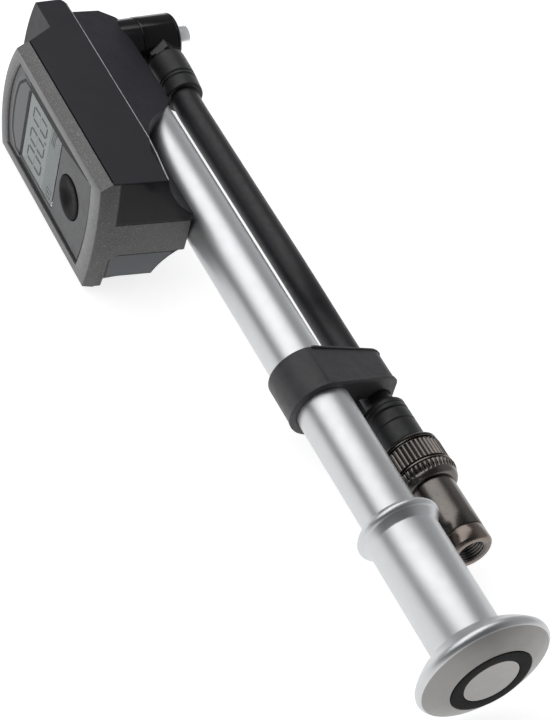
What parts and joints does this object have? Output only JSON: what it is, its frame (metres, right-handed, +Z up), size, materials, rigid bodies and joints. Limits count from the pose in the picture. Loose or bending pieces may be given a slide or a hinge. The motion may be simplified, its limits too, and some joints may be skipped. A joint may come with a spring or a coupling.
{
  "type": "shock suspension pump",
  "caption": "High-pressure hand pump for air shocks and forks, with a digital gauge head, a swivel hose, a two-part screw-on chuck and a sliding palm handle.",
  "frame": {"origin": "middle of the bounding box's base: the plane that the far side of the gauge head lies on", "axes": "+X along the pump from the gauge head to the palm handle, -Y the way the display faces, +Y the hose side, +Z up from the surface the pump lies on"},
  "size_m": [0.2552, 0.0654, 0.04],
  "materials": {
    "anodised_silver": "bead-blasted, clear anodised",
    "disc_silver": "satin",
    "housing_plastic": "fine moulded texture",
    "bezel_plastic": "gunmetal paint with fine flake",
    "panel_plastic": "satin",
    "clear_window": "clear",
    "lcd_glass": "grey-green reflective display",
    "board": "glass-fibre laminate",
    "cover_plastic": "moulded",
    "guide_plastic": "turned acetal",
    "gloss_black": "glossy",
    "black_anodised": "black anodised",
    "black_nickel": "black nickel plated",
    "bright_bolt": "bright",
    "steel": "plain",
    "rod_steel": "ground and polished",
    "screw_steel": "black oxide",
    "brass": "turned",
    "seal_rubber": "smooth",
    "hose_rubber": "matte",
    "boot_rubber": "satin",
    "button_rubber": "satin silicone",
    "clip_rubber": "matte"
  },
  "bodies": {
    "pump": {"barrel_tube": "anodised_silver", "rod_guide": "guide_plastic", "rod_seal": "seal_rubber", "head_core": "black_anodised", "core_o_ring": "seal_rubber", "check_ball": "steel", "check_spring": "steel", "housing_near": "housing_plastic", "housing_far": "housing_plastic", "bezel_frame": "bezel_plastic", "face_panel": "panel_plastic", "lcd_window": "clear_window", "lcd_module": "lcd_glass", "circuit_board": "board", "button_switch": "steel", "pressure_sensor": "steel", "battery_cells": "steel", "battery_contact": "brass", "housing_screws": "screw_steel", "banjo_bolt": "bright_bolt", "banjo_cap": "gloss_black", "banjo_o_rings": "seal_rubber", "bleed_spring": "steel"},
    "button": {"power_button": "button_rubber"},
    "bleed": {"bleed_button": "cover_plastic", "bleed_seal": "seal_rubber"},
    "battery_lid": {"battery_cover": "cover_plastic"},
    "handle": {"handle_grip": "anodised_silver", "handle_end_ring": "gloss_black", "handle_end_disc": "disc_silver", "handle_bumper": "seal_rubber", "piston_rod": "rod_steel", "rod_screw": "screw_steel", "piston": "guide_plastic", "piston_seal": "seal_rubber"},
    "hose_set": {"banjo_body": "gloss_black", "hose_nipple": "black_anodised", "hose_boot_upper": "boot_rubber", "hose": "hose_rubber", "hose_boot_lower": "boot_rubber", "hose_ferrule": "brass", "chuck_stem": "brass", "stem_o_ring": "seal_rubber"},
    "collar": {"chuck_collar": "black_nickel"},
    "tip": {"chuck_tip": "black_nickel", "chuck_seal": "seal_rubber"},
    "pin": {"valve_pin": "brass"},
    "clip": {"hose_clip": "clip_rubber"}
  },
  "joints": [
    {"name": "handle_slide", "type": "slide", "parent": "pump", "child": "handle", "axis": [1, 0, 0], "range_m": [0, 0.17]},
    {"name": "button_press", "type": "slide", "parent": "pump", "child": "button", "axis": [0, 1, 0], "range_m": [0, 0.0007], "stiffness_N_per_m": 2000, "springref_m": -0.0003},
    {"name": "bleed_press", "type": "slide", "parent": "pump", "child": "bleed", "axis": [1, 0, 0], "range_m": [0, 0.0015], "stiffness_N_per_m": 1000, "springref_m": -0.0005},
    {"name": "battery_cover_turn", "type": "hinge", "parent": "pump", "child": "battery_lid", "pos_m": [-0.0568, -0.0198, 0], "axis": [0, 0, 1], "range_deg": [0, 45]},
    {"name": "hose_swivel", "type": "hinge", "parent": "pump", "child": "hose_set", "pos_m": [-0.1193, 0.02, 0.02], "axis": [0, 1, 0], "range_deg": [0, 340]},
    {"name": "clip_slide", "type": "slide", "parent": "pump", "child": "clip", "axis": [-1, 0, 0], "range_m": [0, 0.005]},
    {"name": "collar_turn", "type": "hinge", "parent": "hose_set", "child": "collar", "pos_m": [0.0522, 0.02285, 0.01445], "axis": [1, 0, 0], "range_deg": [0, 720]},
    {"name": "pin_advance", "type": "slide", "parent": "hose_set", "child": "pin", "axis": [1, 0, 0], "range_m": [0, 0.002]},
    {"name": "tip_turn", "type": "hinge", "parent": "hose_set", "child": "tip", "pos_m": [0.07, 0.02285, 0.01445], "axis": [1, 0, 0], "continuous": true}
  ],
  "couplings": [
    {"joint": "pin_advance", "follows": "collar_turn", "m_per_rad": 0.000159}
  ]
}
